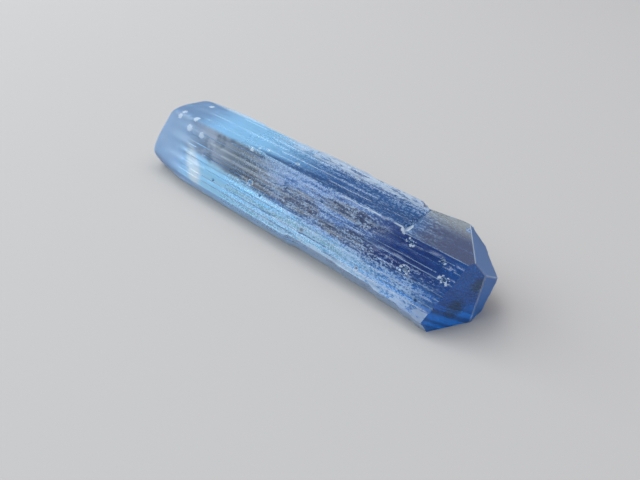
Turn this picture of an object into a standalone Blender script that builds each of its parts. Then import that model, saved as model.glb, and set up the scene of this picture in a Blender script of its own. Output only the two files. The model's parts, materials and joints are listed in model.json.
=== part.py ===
"""A gem-clear aquamarine crystal lying on one of its long faces.

The crystal is one six-sided prism about 26 mm long. Its long faces carry growth
bands that run lengthwise and end in low steps. One end is rounded and lumpy, the
other is a slanting face with a narrow basal face and a bevel beside it. The top
face has lost a thin flake towards the slanting end, and so has its back edge.

Frame: +X runs along the crystal to its faceted end, +Z is up, and the origin is
under the middle of its box. All lengths are in metres. A place is given as how far
back it is from the faceted end, how far it is from the axis across it, and its
height.
"""

import math
import random

import bmesh
import bpy
from mathutils import Matrix, Vector

MM = 0.001

# ---- driving dimensions ----
LENGTH = 26.0 * MM
AXIS_Y = 0.05 * MM
AXIS_Z = 2.24 * MM
BAND_RISER = 0.05 * MM
STEP_RAMP = 0.4 * MM
STATION_SPACING = 0.52 * MM
SAW_ALLOWANCE = 0.9 * MM

# Long faces in order around the prism, seen from the faceted end: the direction of
# the normal in degrees from +Y, its distance from the axis at the faceted and the
# rounded end, the number of growth bands, and the depth of the deepest band.
LONG_FACES = (
    ("bed", -90, 2.24 * MM, 2.24 * MM, 7, 0.08 * MM),
    ("back_low", -30, 2.09 * MM, 2.40 * MM, 9, 0.13 * MM),
    ("back_high", 30, 2.78 * MM, 3.00 * MM, 7, 0.13 * MM),
    ("top", 90, 2.24 * MM, 2.24 * MM, 10, 0.11 * MM),
    ("front_high", 150, 2.06 * MM, 2.06 * MM, 13, 0.12 * MM),
    ("front_low", 210, 3.21 * MM, 3.21 * MM, 2, 0.16 * MM),
)
LONGEST_BAND = 8.0 * MM
SHORTEST_BAND = 1.8 * MM

# The low front face steps in along its middle: how far back each step is, and its level.
LOW_FRONT_STEPS = (
    (11.6 * MM, -0.13 * MM),
    (7.6 * MM, -0.09 * MM),
    (5.0 * MM, 0.03 * MM),
    (3.2 * MM, 0.14 * MM),
    (2.2 * MM, 0.25 * MM),
)

# Rounded end: length of the dome, how boxy it is, and the share of the section at its last ring.
DOME_LENGTH = 2.3 * MM
DOME_POWER = 3.6
DOME_LAST_RING = 0.14
DOME_RINGS = 10

# The rounded end is worn: its bands fade, its corners are held within a radius that shrinks
# towards the tip, and its upper half leans back, least along its middle and most in front.
WORN_LENGTH = 4.0 * MM
WORN_RADIUS = (3.30 * MM, 2.90 * MM)
LEAN = 0.85 * MM
LEAN_FROM_HEIGHT = 1.9 * MM
LEAN_IN_MIDDLE = 0.4
LEAN_SKEW = 0.2
LEAN_HALF_WIDTH = 1.3 * MM

# Lumps on the rounded end: how far they reach from the tip, how far the skin between them is
# sunk, the place and radius of the largest ones, and the number and radius of the others.
LUMP_REACH = 5.6 * MM
LUMP_SINK = 0.09 * MM
LUMP_SPACING = 0.26 * MM
PLACED_LUMPS = (
    (23.85 * MM, -1.20 * MM, 4.20 * MM, 0.36 * MM),
    (23.80 * MM, -0.75 * MM, 4.42 * MM, 0.34 * MM),
    (22.25 * MM, -0.95 * MM, 4.45 * MM, 0.42 * MM),
    (22.50 * MM, -1.43 * MM, 3.81 * MM, 0.44 * MM),
    (21.20 * MM, -1.48 * MM, 3.74 * MM, 0.40 * MM),
    (23.20 * MM, 1.20 * MM, 4.45 * MM, 0.34 * MM),
)
LUMP_COUNT = 20
LUMP_RADIUS = (0.25 * MM, 0.55 * MM)
LUMP_FREE_HEIGHT = 0.35 * MM

# Faceted end: a place on each face, and its outward normal. They are the
# slanting face, the basal face, the bevel, and a small facet over the corner of the last two.
END_FACES = (
    ((-0.04 * MM, 0.0, 3.2 * MM), (1.0, -0.55, 0.03)),
    ((0.0, 0.0, 0.0), (1.0, 0.0, 0.0)),
    ((0.525 * MM, -1.146 * MM, 4.48 * MM), (0.672, 0.405, 0.620)),
    ((0.10 * MM, 2.12 * MM, 1.90 * MM), (0.72, 0.53, 0.45)),
)

# Flakes lost towards the faceted end: the place of the foot of the wall, the floor's roll
# about the length and its rise along it.
FLAKES = (
    ((4.6 * MM, -1.21 * MM, 4.18 * MM), math.radians(5.2), 0.0),
    ((5.1 * MM, 1.76 * MM, 4.22 * MM), math.radians(-30), math.radians(5.5)),
)
FLAKE_BOX = Vector((6.5, 7.0, 2.0)) * MM
FLAKE_WALL_LEAN = math.radians(45)

# Chips along the edges: place of the centre, and radius.
CHIPS = (
    (16.5 * MM, -1.30 * MM, 4.65 * MM, 0.36 * MM),
    (15.6 * MM, -1.20 * MM, 4.68 * MM, 0.31 * MM),
    (4.5 * MM, -1.55 * MM, 4.45 * MM, 0.36 * MM),
    (10.0 * MM, 3.12 * MM, 3.15 * MM, 0.50 * MM),
    (19.5 * MM, 2.35 * MM, 4.75 * MM, 0.45 * MM),
)

# Larger etch pits: the long face they sit on, how far back they are, their place across the
# face from one edge to the other, and their radius.
PLACED_PITS = (
    ("top", 9.63 * MM, 0.32, 0.15 * MM),
    ("top", 13.25 * MM, 0.78, 0.13 * MM),
    ("front_high", 15.76 * MM, 0.53, 0.17 * MM),
    ("front_high", 4.05 * MM, 0.17, 0.20 * MM),
    ("front_high", 3.7 * MM, 0.55, 0.22 * MM),
    ("front_high", 1.5 * MM, 0.42, 0.22 * MM),
    ("front_high", 2.0 * MM, 0.2, 0.14 * MM),
    ("front_high", 6.37 * MM, 0.88, 0.12 * MM),
)
SCATTERED_PITS = 12
PIT_SIDES = 6
PIT_DEPTH_RATIO = 0.55
PIT_TIP_RADIUS = 0.02 * MM

SEED = 41


def along(back):
    """X of a place that lies this far back from the faceted end."""
    return LENGTH / 2 - back


def placed(place):
    """Point in space of a place (how far back, across from the axis, height)."""
    return Vector((along(place[0]), AXIS_Y + place[1], place[2]))


def remove_everything():
    """Empty the scene."""
    for item in list(bpy.data.objects):
        bpy.data.objects.remove(item, do_unlink=True)


def new_collection(name):
    """Make a collection in the scene."""
    collection = bpy.data.collections.new(name)
    bpy.context.scene.collection.children.link(collection)
    return collection


def face_directions(angle):
    """Outward normal and running direction of a long face, as (y, z) pairs."""
    turn = math.radians(angle)
    return (math.cos(turn), math.sin(turn)), (-math.sin(turn), math.cos(turn))


def face_distance(face, x):
    """Distance of a long face from the axis at a place along the crystal."""
    share = min(max(0.5 - x / LENGTH, 0.0), 1.0)
    return face[2] + (face[3] - face[2]) * share


def line_crossing(angle_a, distance_a, angle_b, distance_b):
    """Point (y, z) where two face lines of a cross-section meet."""
    (ay, az), _ = face_directions(angle_a)
    (by, bz), _ = face_directions(angle_b)
    determinant = ay * bz - az * by
    y = (distance_a * bz - distance_b * az) / determinant
    z = (ay * distance_b - by * distance_a) / determinant
    return y, z


def random_steps(number, face, rng):
    """Steps along one growth band as (x, level); every second band of the bed stays whole."""
    name, _, _, _, count, depth = face
    x = -LENGTH / 2
    steps = []
    while x < LENGTH / 2:
        level = -depth * rng.random() ** 1.4
        whole = number in (0, count - 1) and rng.random() < 0.5
        if whole or (name == "bed" and number % 2 == 0):
            level = 0.0
        steps.append((x, level))
        x += rng.uniform(SHORTEST_BAND, LONGEST_BAND)
    return steps


def low_front_steps():
    """Steps along the low front face, which stands back in its middle."""
    return [(-LENGTH / 2, 0.0)] + [(along(back), level) for back, level in LOW_FRONT_STEPS]


def make_bands(face, rng):
    """Growth bands of a long face, each with its start and end across it and its steps."""
    count = face[4]
    widths = [rng.uniform(0.5, 1.6) for _ in range(count)]
    edges = [sum(widths[:i]) / sum(widths) for i in range(count + 1)]
    bands = []
    for number in range(count):
        steps = low_front_steps() if face[0] == "front_low" else random_steps(number, face, rng)
        bands.append((edges[number], edges[number + 1], steps))
    return bands


def wear(x):
    """How worn the crystal is at x: 0 along most of it, rising to 1 at its rounded tip."""
    share = min(max(1 - (x + LENGTH / 2) / WORN_LENGTH, 0.0), 1.0)
    return share * share * (3 - 2 * share)


def band_level(band, x):
    """Level of a band at x, with a short ramp at each step; the bands fade where it is worn."""
    steps = band[2]
    level = steps[0][1]
    for start, after in steps[1:]:
        share = min(max((x - start) / STEP_RAMP + 0.5, 0.0), 1.0)
        level += (after - level) * share
    return level * (1 - wear(x))


def cross_section(x, all_bands):
    """Outline of the banded prism at x, as (y, z) points in order from one corner round."""
    distances = [face_distance(face, x) for face in LONG_FACES]
    angles = [face[1] for face in LONG_FACES]
    points = []
    for i, bands in enumerate(all_bands):
        before, after = i - 1, (i + 1) % len(LONG_FACES)
        first = band_level(bands[0], x)
        last_before = band_level(all_bands[before][-1], x)
        corner = line_crossing(angles[before], distances[before] + last_before,
                               angles[i], distances[i] + first)
        points.append(corner)
        start = line_crossing(angles[before], distances[before], angles[i], distances[i])
        end = line_crossing(angles[i], distances[i], angles[after], distances[after])
        (ny, nz), (ty, tz) = face_directions(angles[i])
        along_start = start[0] * ty + start[1] * tz
        along_end = end[0] * ty + end[1] * tz
        for j in range(1, len(bands)):
            middle = along_start + (along_end - along_start) * bands[j][0]
            for side, band in ((-1, bands[j - 1]), (1, bands[j])):
                along = middle + side * BAND_RISER / 2
                out = distances[i] + band_level(band, x)
                points.append((ny * out + ty * along, nz * out + tz * along))
    return points


def stations():
    """Places along the crystal, each with the size of its section: the dome, then the prism."""
    places = []
    for i in range(DOME_RINGS):
        turn = (i + 1) / DOME_RINGS * math.pi / 2
        size = DOME_LAST_RING + (1 - DOME_LAST_RING) * math.sin(turn) ** (2 / DOME_POWER)
        inward = 1 - math.cos(turn) ** (2 / DOME_POWER)
        places.append((-LENGTH / 2 + DOME_LENGTH * inward, size))
    places.insert(0, (-LENGTH / 2, DOME_LAST_RING))
    lumpy_end = -LENGTH / 2 + LUMP_REACH
    for last, spacing in ((lumpy_end, LUMP_SPACING), (LENGTH / 2 + SAW_ALLOWANCE, STATION_SPACING)):
        first = places[-1][0]
        count = round((last - first) / spacing)
        places += [(first + (last - first) * (i + 1) / count, 1.0) for i in range(count)]
    return places


def all_lumps(rng):
    """Lumps as pairs of centre and radius: the placed ones, then others around the skin."""
    lumps = [(placed(lump[:3]), lump[3]) for lump in PLACED_LUMPS]
    for _ in range(LUMP_COUNT):
        turn = rng.uniform(0, 2 * math.pi)
        x = -LENGTH / 2 + LUMP_REACH * rng.random()
        out = AXIS_Z * (1.0 if x > -LENGTH / 2 + DOME_LENGTH / 2 else 0.75)
        centre = Vector((x, AXIS_Y + out * math.cos(turn), AXIS_Z + out * math.sin(turn)))
        lumps.append((centre, rng.uniform(*LUMP_RADIUS)))
    return lumps


def add_lumps(bm, rng):
    """Sink the skin of the rounded end a little, between lumps that stay up."""
    lumps = all_lumps(rng)
    tip = -LENGTH / 2
    for vert in bm.verts:
        reach = 1 - (vert.co.x - tip) / LUMP_REACH
        if not 0 < reach < 1 or vert.co.z < LUMP_FREE_HEIGHT:
            continue
        rise = max(max(0.0, 1 - ((vert.co - centre).length / radius) ** 2) for centre, radius in lumps)
        out = Vector((-AXIS_Z / 4, vert.co.y - AXIS_Y, vert.co.z - AXIS_Z)).normalized()
        vert.co += out * LUMP_SINK * min(0.0, rise - 1) * min(2 * reach, 1.0)


def lean_end(bm):
    """Lean the upper half of the rounded end back, with a bulge along its middle."""
    for vert in bm.verts:
        height = max(0.0, (vert.co.z - LEAN_FROM_HEIGHT) / (2 * AXIS_Z - LEAN_FROM_HEIGHT))
        aside = min(max((vert.co.y - AXIS_Y) / LEAN_HALF_WIDTH, -1.0), 1.0)
        share = LEAN_IN_MIDDLE + (1 - LEAN_IN_MIDDLE) * aside ** 2 - LEAN_SKEW * aside
        vert.co.x += LEAN * share * height ** 2 * wear(vert.co.x)


def worn_point(x, y, z):
    """Point of a section, drawn in to the radius that the wear at x leaves."""
    whole, tip = WORN_RADIUS
    limit = whole + (tip - whole) * wear(x)
    share = min(1.0, limit / math.hypot(y, z)) if wear(x) > 0 else 1.0
    return x, AXIS_Y + y * share, AXIS_Z + z * share


def loft_prism(all_bands):
    """Banded prism with one rounded end, as a loft through its cross-sections."""
    bm = bmesh.new()
    rings = []
    for x, size in stations():
        ring = [bm.verts.new(worn_point(x, y * size, z * size)) for y, z in cross_section(x, all_bands)]
        rings.append(ring)
    for ring, following in zip(rings, rings[1:]):
        for i, vert in enumerate(ring):
            after = (i + 1) % len(ring)
            bm.faces.new((vert, ring[after], following[after], following[i]))
    bm.faces.new(list(reversed(rings[0])))
    bm.faces.new(rings[-1])
    return bm


def saw(bm, point, normal):
    """Cut the crystal by a plane, drop what lies outside it and close the cut with a face."""
    everything = bm.verts[:] + bm.edges[:] + bm.faces[:]
    bmesh.ops.bisect_plane(bm, geom=everything, plane_co=point, plane_no=normal,
                           dist=1e-8, clear_outer=True)
    rim = [edge for edge in bm.edges if edge.is_boundary]
    closing = bmesh.ops.holes_fill(bm, edges=rim, sides=0)
    bmesh.ops.triangulate(bm, faces=closing["faces"])


def new_object(name, bm, collection):
    """Turn a bmesh into an object in a collection."""
    mesh = bpy.data.meshes.new(name)
    bm.to_mesh(mesh)
    bm.free()
    item = bpy.data.objects.new(name, mesh)
    collection.objects.link(item)
    return item


def new_cutter(name, bm, collection):
    """Turn a bmesh into a cutter, which shows as wire and doesn't render."""
    cutter = new_object(name, bm, collection)
    cutter.hide_render = True
    cutter.display_type = "WIRE"
    return cutter


def flake_cutter(number, flake, collection):
    """Block over the floor of a lost flake, from its leaning wall to the faceted end."""
    foot, roll, rise = flake
    bm = bmesh.new()
    bmesh.ops.create_cube(bm, size=1.0)
    bmesh.ops.scale(bm, vec=FLAKE_BOX, verts=bm.verts)
    bmesh.ops.translate(bm, vec=(FLAKE_BOX.x / 2, 0.0, FLAKE_BOX.z / 2), verts=bm.verts)
    for vert in bm.verts:
        if vert.co.x < FLAKE_BOX.x / 2:
            vert.co.x -= vert.co.z * math.tan(FLAKE_WALL_LEAN)
    tilt = Matrix.Rotation(roll, 3, "X") @ Matrix.Rotation(-rise, 3, "Y")
    bmesh.ops.rotate(bm, cent=(0, 0, 0), matrix=tilt, verts=bm.verts)
    bmesh.ops.translate(bm, vec=placed(foot), verts=bm.verts)
    return new_cutter(f"flake_cutter_{number}", bm, collection)


def chip_cutter(number, chip, collection):
    """Coarse ball that bites one chip out of an edge."""
    radius = chip[3]
    bm = bmesh.new()
    place = Matrix.Translation(placed(chip[:3])) @ Matrix.Rotation(number, 4, "Z")
    bmesh.ops.create_icosphere(bm, subdivisions=2, radius=radius, matrix=place)
    return new_cutter(f"chip_cutter_{number}", bm, collection)


def pit_place(face, x, across, all_bands):
    """Matrix of a pit on a long face, with its Z along the normal."""
    number = LONG_FACES.index(face)
    before = LONG_FACES[number - 1]
    after = LONG_FACES[(number + 1) % len(LONG_FACES)]
    distance = face_distance(face, x)
    start = line_crossing(before[1], face_distance(before, x), face[1], distance)
    end = line_crossing(face[1], distance, after[1], face_distance(after, x))
    band = next(item for item in all_bands[number] if item[1] >= across)
    (ny, nz), _ = face_directions(face[1])
    sunk = band_level(band, x)
    y = start[0] + (end[0] - start[0]) * across + ny * sunk
    z = start[1] + (end[1] - start[1]) * across + nz * sunk
    turned = Vector((0, ny, nz)).to_track_quat("Z", "X").to_matrix().to_4x4()
    return Matrix.Translation((x, AXIS_Y + y, AXIS_Z + z)) @ turned


def all_pits(rng):
    """Placed pits, then scattered ones on the faces that don't touch the ground."""
    by_name = {face[0]: face for face in LONG_FACES}
    pits = [(by_name[name], along(back), across, radius) for name, back, across, radius in PLACED_PITS]
    for _ in range(SCATTERED_PITS):
        face = rng.choice(LONG_FACES[1:5])
        x = rng.uniform(-0.36, 0.42) * LENGTH
        pits.append((face, x, rng.uniform(0.15, 0.85), rng.uniform(0.09, 0.17) * MM))
    return pits


def pit_cutters(all_bands, rng, collection):
    """Six-sided cones, point down, that sink the etch pits."""
    cutters = []
    for number, (face, x, across, radius) in enumerate(all_pits(rng)):
        bm = bmesh.new()
        depth = 2 * radius * PIT_DEPTH_RATIO
        place = pit_place(face, x, across, all_bands)
        bmesh.ops.create_cone(bm, cap_ends=True, segments=PIT_SIDES, radius1=PIT_TIP_RADIUS,
                              radius2=2 * radius, depth=2 * depth,
                              matrix=place @ Matrix.Rotation(number, 4, "Z"))
        cutters.append(new_cutter(f"pit_cutter_{number}", bm, collection))
    return cutters


def cut_with(item, cutter):
    """Add one exact Boolean difference to an object."""
    modifier = item.modifiers.new(cutter.name, "BOOLEAN")
    modifier.operation = "DIFFERENCE"
    modifier.solver = "EXACT"
    modifier.object = cutter


def aquamarine_material():
    """Clear pale-blue glassy material."""
    material = bpy.data.materials.new("aquamarine")
    material.use_nodes = True
    shader = material.node_tree.nodes["Principled BSDF"]
    shader.inputs["Base Color"].default_value = (0.36, 0.62, 0.86, 1.0)
    shader.inputs["Roughness"].default_value = 0.08
    shader.inputs["Metallic"].default_value = 0.0
    shader.inputs["IOR"].default_value = 1.577
    shader.inputs["Transmission Weight"].default_value = 0.9
    return material


def build():
    """Grow the crystal, cut its end faces, and take out the flake, the chips and the pits."""
    remove_everything()
    parts = new_collection("aquamarine")
    cutters = new_collection("cutters")
    rng = random.Random(SEED)
    all_bands = [make_bands(face, rng) for face in LONG_FACES]
    bm = loft_prism(all_bands)
    add_lumps(bm, rng)
    lean_end(bm)
    for point, normal in END_FACES:
        saw(bm, placed(point), normal)
    crystal = new_object("aquamarine_crystal", bm, parts)
    crystal.data.materials.append(aquamarine_material())
    for number, flake in enumerate(FLAKES):
        cut_with(crystal, flake_cutter(number, flake, cutters))
    for number, chip in enumerate(CHIPS):
        cut_with(crystal, chip_cutter(number, chip, cutters))
    for cutter in pit_cutters(all_bands, rng, cutters):
        cut_with(crystal, cutter)


build()
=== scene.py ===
"""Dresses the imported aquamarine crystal: a fine surface, its finish, and a plain studio.

The crystal is one clear body. Its fine surface follows the growth bands, steps, lumps,
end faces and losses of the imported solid, and adds the striae and etch marks that are
too fine for a solid. Lengths are in metres, +X runs to the faceted end and +Z is up.
A place is given as how far back it is from the faceted end, how far across it is from
the axis, and its height.
"""

from __future__ import annotations

import json
import logging
import math
import random
from dataclasses import dataclass, field
from enum import Enum
from functools import reduce
from typing import Union

import bmesh
import bpy
import numpy as np
from bmesh.types import BMesh
from bpy.types import Collection, Material, Mesh, Node, NodeSocket, NodeTree, Object
from mathutils import Matrix, Vector, noise

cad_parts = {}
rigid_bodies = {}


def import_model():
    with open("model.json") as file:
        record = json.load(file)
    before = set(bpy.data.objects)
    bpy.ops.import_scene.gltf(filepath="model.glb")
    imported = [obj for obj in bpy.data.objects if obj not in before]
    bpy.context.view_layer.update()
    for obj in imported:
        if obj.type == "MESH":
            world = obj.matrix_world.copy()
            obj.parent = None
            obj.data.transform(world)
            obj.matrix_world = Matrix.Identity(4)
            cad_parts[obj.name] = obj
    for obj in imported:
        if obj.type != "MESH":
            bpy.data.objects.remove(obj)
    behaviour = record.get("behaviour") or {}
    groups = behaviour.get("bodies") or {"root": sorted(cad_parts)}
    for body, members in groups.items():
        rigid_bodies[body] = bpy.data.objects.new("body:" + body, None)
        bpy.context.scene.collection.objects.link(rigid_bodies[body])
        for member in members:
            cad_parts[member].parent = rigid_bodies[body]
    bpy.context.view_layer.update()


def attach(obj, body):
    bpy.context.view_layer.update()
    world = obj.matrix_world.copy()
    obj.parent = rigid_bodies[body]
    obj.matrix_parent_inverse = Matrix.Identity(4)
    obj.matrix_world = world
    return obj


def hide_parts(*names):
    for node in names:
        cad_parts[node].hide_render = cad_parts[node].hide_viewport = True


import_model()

LOG = logging.getLogger("aquamarine")
MM = 0.001
MIX_INPUTS = (0, 6, 7)
MIX_RESULT = 2

Pair = tuple[float, float]
Triple = tuple[float, float, float]
Quad = tuple[float, float, float, float]
Colour = Quad
Input = Union["Value", float, Triple, Colour]


class Facet(Enum):
    """Kinds of surface on the crystal; each value names the face attribute that marks it."""

    LONG = "on_long_face"
    SLANT = "on_slant"
    BASAL = "on_basal"
    BEVEL = "on_bevel"
    FLAKE = "on_flake"
    BACK_LOW = "on_back_low"
    TOP = "on_top"
    FRONT_HIGH = "on_front_high"
    FRONT_LOW = "on_front_low"
    # Painted highlights and glints on lumps and chips, marked by face; not a kind of surface.
    SPOT = "on_painted_glint"


def mm(*values: float) -> tuple[float, ...]:
    """Turn millimetres into metres."""
    return tuple(value * MM for value in values)


def clamp(value: float) -> float:
    """Keep a share between 0 and 1."""
    return min(max(value, 0.0), 1.0)


def direction(angle: float) -> Pair:
    """Unit (y, z) at an angle from +Y, in degrees."""
    return math.cos(math.radians(angle)), math.sin(math.radians(angle))


@dataclass(frozen=True)
class LongFace:
    """One of the six long faces of the prism.

    Args:
        name: What the face is called.
        angle: Direction of its normal, in degrees from +Y.
        near: Distance from the axis at the faceted end.
        far: Distance from the axis at the rounded end.
        bands: Number of growth bands.
        depth: Depth of the deepest band.
        etch: Strength of the etching on its faceted half, from 0 to 1.
    """

    name: str
    angle: float
    near: float
    far: float
    bands: int
    depth: float
    etch: float

    @property
    def normal(self) -> Pair:
        """Outward direction as (y, z)."""
        return direction(self.angle)

    @property
    def run(self) -> Pair:
        """Direction across the face, counter-clockwise seen from +X, as (y, z)."""
        return -self.normal[1], self.normal[0]

    def distance(self, x: float, length: float) -> float:
        """Distance from the axis at x."""
        return self.near + (self.far - self.near) * clamp(0.5 - x / length)


@dataclass(frozen=True)
class Band:
    """One growth band: where it starts and ends across its face, and its steps along X."""

    start: float
    end: float
    steps: tuple[Pair, ...]
    ramp: float

    def level(self, x: float) -> float:
        """Find the height of the band over its face, with a short ramp at each step.

        Args:
            x: Place along the crystal.

        Returns:
            The height, which is negative where the band lies below the face.
        """
        level = self.steps[0][1]
        for place, after in self.steps[1:]:
            level += (after - level) * clamp((x - place) / self.ramp + 0.5)
        return level


def line_crossing(angle_a: float, distance_a: float, angle_b: float, distance_b: float) -> Pair:
    """Find where two face lines of a cross-section meet.

    Args:
        angle_a: Direction of the first line's normal, in degrees.
        distance_a: Its distance from the axis.
        angle_b: Direction of the second line's normal, in degrees.
        distance_b: Its distance from the axis.

    Returns:
        The point as (y, z).
    """
    (ay, az), (by, bz) = direction(angle_a), direction(angle_b)
    determinant = ay * bz - az * by
    y = (distance_a * bz - distance_b * az) / determinant
    return y, (ay * distance_b - by * distance_a) / determinant


@dataclass
class Prism:
    """The banded six-sided prism with its rounded end, before anything is cut from it."""

    length: float = 26.0 * MM
    axis_y: float = 0.05 * MM
    axis_z: float = 2.24 * MM
    riser: float = 0.05 * MM
    step_ramp: float = 0.4 * MM
    band_length: Pair = mm(1.8, 8.0)
    band_width: Pair = (0.5, 1.6)
    band_depth_power: float = 1.4
    whole_band_chance: float = 0.5
    overshoot: float = 0.9 * MM
    dome_length: float = 2.3 * MM
    dome_power: float = 3.6
    dome_last_ring: float = 0.14
    dome_rings: int = 40
    ring_spacing: float = 0.092 * MM
    column_spacing: float = 0.078 * MM
    faces: tuple[LongFace, ...] = (
        LongFace("bed", -90, 2.24 * MM, 2.24 * MM, 7, 0.08 * MM, 0.3),
        LongFace("back_low", -30, 2.09 * MM, 2.40 * MM, 9, 0.13 * MM, 0.35),
        LongFace("back_high", 30, 2.78 * MM, 3.00 * MM, 7, 0.13 * MM, 0.35),
        LongFace("top", 90, 2.24 * MM, 2.24 * MM, 10, 0.11 * MM, 0.45),
        LongFace("front_high", 150, 2.06 * MM, 2.06 * MM, 13, 0.12 * MM, 1.0),
        LongFace("front_low", 210, 3.21 * MM, 3.21 * MM, 2, 0.16 * MM, 0.5),
    )
    low_front_steps: tuple[Pair, ...] = (
        mm(11.6, -0.13),
        mm(7.6, -0.09),
        mm(5.0, 0.03),
        mm(3.2, 0.14),
        mm(2.2, 0.25),
    )
    worn_length: float = 4.0 * MM
    worn_radius: Pair = mm(3.30, 2.90)
    bands: list[list[Band]] = field(default_factory=list)

    def along(self, back: float) -> float:
        """X of a place that lies this far back from the faceted end."""
        return self.length / 2 - back

    def placed(self, place: Triple) -> Vector:
        """Point in space of a place (how far back, across from the axis, height)."""
        return Vector((self.along(place[0]), self.axis_y + place[1], place[2]))

    def wear(self, x: float) -> float:
        """How worn the crystal is at x: 0 along most of it, rising to 1 at its rounded tip."""
        share = clamp(1 - (x + self.length / 2) / self.worn_length)
        return share * share * (3 - 2 * share)

    def random_steps(self, number: int, face: LongFace, rng: random.Random) -> list[Pair]:
        """Draw the steps along one growth band.

        Args:
            number: Place of the band on its face.
            face: The long face.
            rng: Source of the random draws.

        Returns:
            The steps as (x, level).
        """
        x = -self.length / 2
        steps = []
        while x < self.length / 2:
            level = -face.depth * rng.random() ** self.band_depth_power
            whole = number in (0, face.bands - 1) and rng.random() < self.whole_band_chance
            if whole or (face.name == "bed" and number % 2 == 0):
                level = 0.0
            steps.append((x, level))
            x += rng.uniform(*self.band_length)
        return steps

    def grow_bands(self, rng: random.Random) -> None:
        """Fill in the growth bands of every long face.

        Args:
            rng: Source of the random draws.
        """
        low_front = [(-self.length / 2, 0.0)]
        low_front += [(self.along(back), level) for back, level in self.low_front_steps]
        for face in self.faces:
            widths = [rng.uniform(*self.band_width) for _ in range(face.bands)]
            edges = [sum(widths[:i]) / sum(widths) for i in range(face.bands + 1)]
            grown = []
            for number in range(face.bands):
                steps = low_front if face.name == "front_low" else self.random_steps(number, face, rng)
                grown.append(Band(edges[number], edges[number + 1], tuple(steps), self.step_ramp))
            self.bands.append(grown)

    def face_ends(self, number: int, x: float) -> tuple[Pair, Pair]:
        """Find the corners at which a long face starts and ends, before its bands.

        Args:
            number: Number of the face.
            x: Place along the crystal.

        Returns:
            The corners as (y, z).
        """
        around = [self.faces[(number + turn) % len(self.faces)] for turn in (-1, 0, 1)]
        before, here, after = [(face.angle, face.distance(x, self.length)) for face in around]
        return line_crossing(*before, *here), line_crossing(*here, *after)

    def cross_section(self, x: float) -> list[Pair]:
        """Draw the outline of the banded prism.

        Args:
            x: Place along the crystal.

        Returns:
            The (y, z) points round from one corner.
        """
        points = []
        whole = 1 - self.wear(x)
        for i, (face, bands) in enumerate(zip(self.faces, self.bands)):
            before = self.faces[i - 1]
            last_before = whole * self.bands[i - 1][-1].level(x)
            out = face.distance(x, self.length)
            points.append(line_crossing(before.angle, before.distance(x, self.length) + last_before,
                                        face.angle, out + whole * bands[0].level(x)))
            start, end = self.face_ends(i, x)
            (ny, nz), (ty, tz) = face.normal, face.run
            first = start[0] * ty + start[1] * tz
            last = end[0] * ty + end[1] * tz
            for left, right in zip(bands, bands[1:]):
                middle = first + (last - first) * right.start
                for side, band in ((-1, left), (1, right)):
                    across = middle + side * self.riser / 2
                    level = out + whole * band.level(x)
                    points.append((ny * level + ty * across, nz * level + tz * across))
        return points

    def drawn_in(self, points: np.ndarray, x: float) -> np.ndarray:
        """Draw a section in to the radius that the wear leaves.

        Args:
            points: The section as (y, z) points.
            x: Place along the crystal.

        Returns:
            The moved points.
        """
        wear = self.wear(x)
        if wear == 0:
            return points
        limit = self.worn_radius[0] + (self.worn_radius[1] - self.worn_radius[0]) * wear
        return points * np.minimum(1.0, limit / np.linalg.norm(points, axis=1, keepdims=True))

    def stations(self) -> list[Pair]:
        """Space the sections along the crystal: the dome, then the prism.

        Returns:
            X and size of each section.
        """
        tip = -self.length / 2
        places = [(tip, self.dome_last_ring)]
        for i in range(self.dome_rings):
            turn = (i + 1) / self.dome_rings * math.pi / 2
            size = self.dome_last_ring + (1 - self.dome_last_ring) * math.sin(turn) ** (2 / self.dome_power)
            places.append((tip + self.dome_length * (1 - math.cos(turn) ** (2 / self.dome_power)), size))
        first = places[-1][0]
        last = self.length / 2 + self.overshoot
        count = round((last - first) / self.ring_spacing)
        return places + [(first + (last - first) * (i + 1) / count, 1.0) for i in range(count)]

    def columns(self) -> tuple[np.ndarray, np.ndarray, np.ndarray]:
        """Work out how the outline's segments are shared into columns.

        Returns:
            For every column, the segment it lies on, its share along that segment, and the
            number of its long face.
        """
        outline = np.array(self.cross_section(0.0))
        lengths = np.linalg.norm(np.roll(outline, -1, axis=0) - outline, axis=1)
        segments, shares, owners = [], [], []
        segment = 0
        for number, bands in enumerate(self.bands):
            for piece in range(2 * len(bands) - 1):
                parts = 1 if piece % 2 else max(2, round(lengths[segment] / self.column_spacing))
                segments += [segment] * parts
                shares += [i / parts for i in range(parts)]
                owners += [number] * parts
                segment += 1
        return np.array(segments), np.array(shares), np.array(owners)

    def skin(self) -> tuple[np.ndarray, np.ndarray]:
        """Lay out the smooth skin of the prism.

        Returns:
            The points as rings x columns x 3, and the long face of each column.
        """
        segments, shares, owners = self.columns()
        rings = []
        for x, size in self.stations():
            outline = np.array(self.cross_section(x)) * size
            ahead = np.roll(outline, -1, axis=0)
            points = self.drawn_in(outline[segments] + (ahead - outline)[segments] * shares[:, None], x)
            rings.append(np.column_stack((np.full(len(points), x), points + (self.axis_y, self.axis_z))))
        return np.array(rings), owners


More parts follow.
